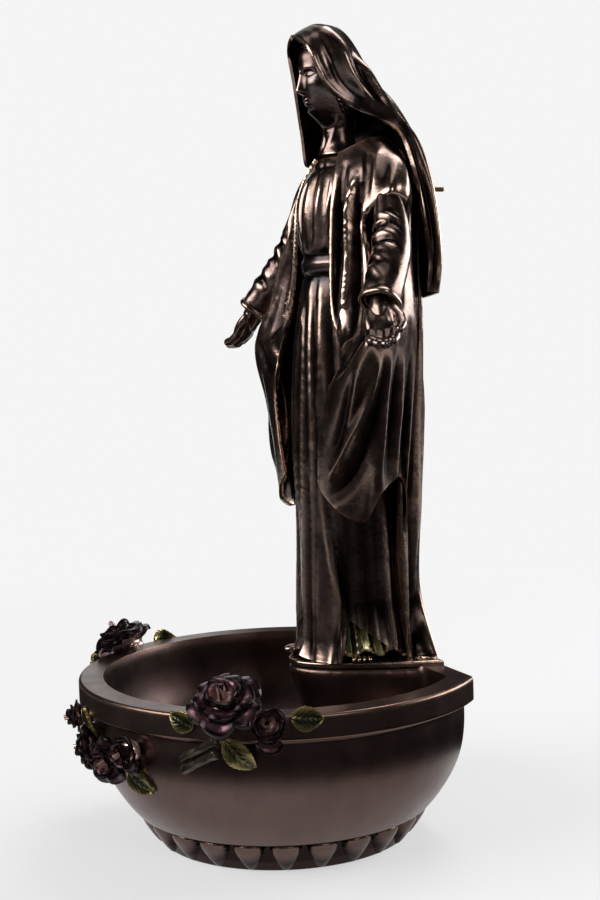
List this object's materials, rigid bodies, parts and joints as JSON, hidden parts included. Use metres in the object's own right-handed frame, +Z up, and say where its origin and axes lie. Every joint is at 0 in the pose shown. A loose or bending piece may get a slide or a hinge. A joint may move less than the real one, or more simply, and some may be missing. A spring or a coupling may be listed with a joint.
{
  "type": "holy water stoup",
  "caption": "Holy water stoup: a basin with a flat back and a gadrooned foot, a veiled figure with open hands standing on its ledge, rose clusters on its rim and front, and a brass hanging pin.",
  "frame": {"origin": "under the foot, on the basin's axis, on the table", "axes": "the figure faces -Y, the flat back that goes against a wall faces +Y, +Z is up, +X is the figure's left"},
  "size_m": [0.133, 0.1271, 0.2485],
  "materials": {
    "bowl_bronze": "cold-cast bronze with a satin brown patina, lighter on the rim",
    "figure_bronze": "cold-cast bronze, dark glossy patina rubbed to gold on the folds",
    "rose_bronze": "cold-cast bronze tinted reddish purple, bronze on the petal edges",
    "leaf_bronze": "cold-cast bronze tinted dark green, gold on the ribs",
    "raw_brass": "plain drawn brass wire"
  },
  "bodies": {
    "root": {"bowl": "bowl_bronze", "gadrooned_foot": "bowl_bronze", "figure_base": "figure_bronze", "gown": "figure_bronze", "mantle": "figure_bronze", "veil": "figure_bronze", "head": "figure_bronze", "left_sleeve": "figure_bronze", "right_sleeve": "figure_bronze", "left_hand": "figure_bronze", "right_hand": "figure_bronze", "hanging_pin": "raw_brass", "left_rose": "rose_bronze", "left_rosebud": "rose_bronze", "left_rose_leaves": "leaf_bronze", "left_rose_stems": "leaf_bronze", "right_rose": "rose_bronze", "right_rosebud": "rose_bronze", "right_rose_leaves": "leaf_bronze", "right_rose_stems": "leaf_bronze", "front_left_rose": "rose_bronze", "front_right_rose": "rose_bronze", "front_left_rosebud": "rose_bronze", "front_right_rosebud": "rose_bronze", "front_rose_leaves": "leaf_bronze"}
  },
  "joints": []
}
